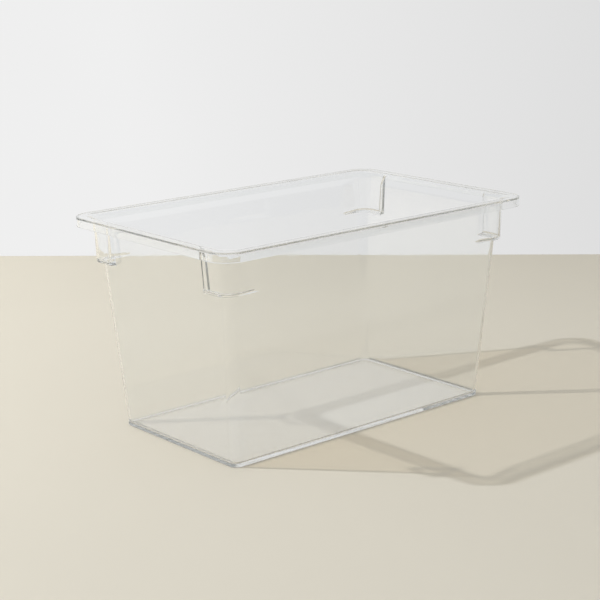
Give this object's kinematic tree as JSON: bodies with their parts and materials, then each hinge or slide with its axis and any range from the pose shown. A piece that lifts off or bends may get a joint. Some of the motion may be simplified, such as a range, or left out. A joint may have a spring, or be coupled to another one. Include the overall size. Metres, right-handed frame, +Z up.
{
  "type": "food storage box",
  "caption": "Deep clear open-topped rectangular food storage box with tapered walls that nest, corner shoulders with ledges, and a flat flanged rim with a downturned skirt.",
  "frame": {"origin": "centre of the flat underside, on the surface that the box stands on", "axes": "+X along the long side, +Y along the short side towards the back, +Z up"},
  "size_m": [0.457, 0.29, 0.248],
  "materials": {
    "clear_plastic": "clear polycarbonate, smooth and glossy inside and out"
  },
  "bodies": {
    "root": {"floor_panel": "clear_plastic", "long_wall_front": "clear_plastic", "rim_rail_front": "clear_plastic", "long_wall_back": "clear_plastic", "rim_rail_back": "clear_plastic", "end_wall_left": "clear_plastic", "end_grip_left": "clear_plastic", "end_wall_right": "clear_plastic", "end_grip_right": "clear_plastic", "shoulder_column_front_left": "clear_plastic", "rim_corner_front_left": "clear_plastic", "shoulder_column_front_right": "clear_plastic", "rim_corner_front_right": "clear_plastic", "shoulder_column_back_left": "clear_plastic", "rim_corner_back_left": "clear_plastic", "shoulder_column_back_right": "clear_plastic", "rim_corner_back_right": "clear_plastic"}
  },
  "joints": []
}
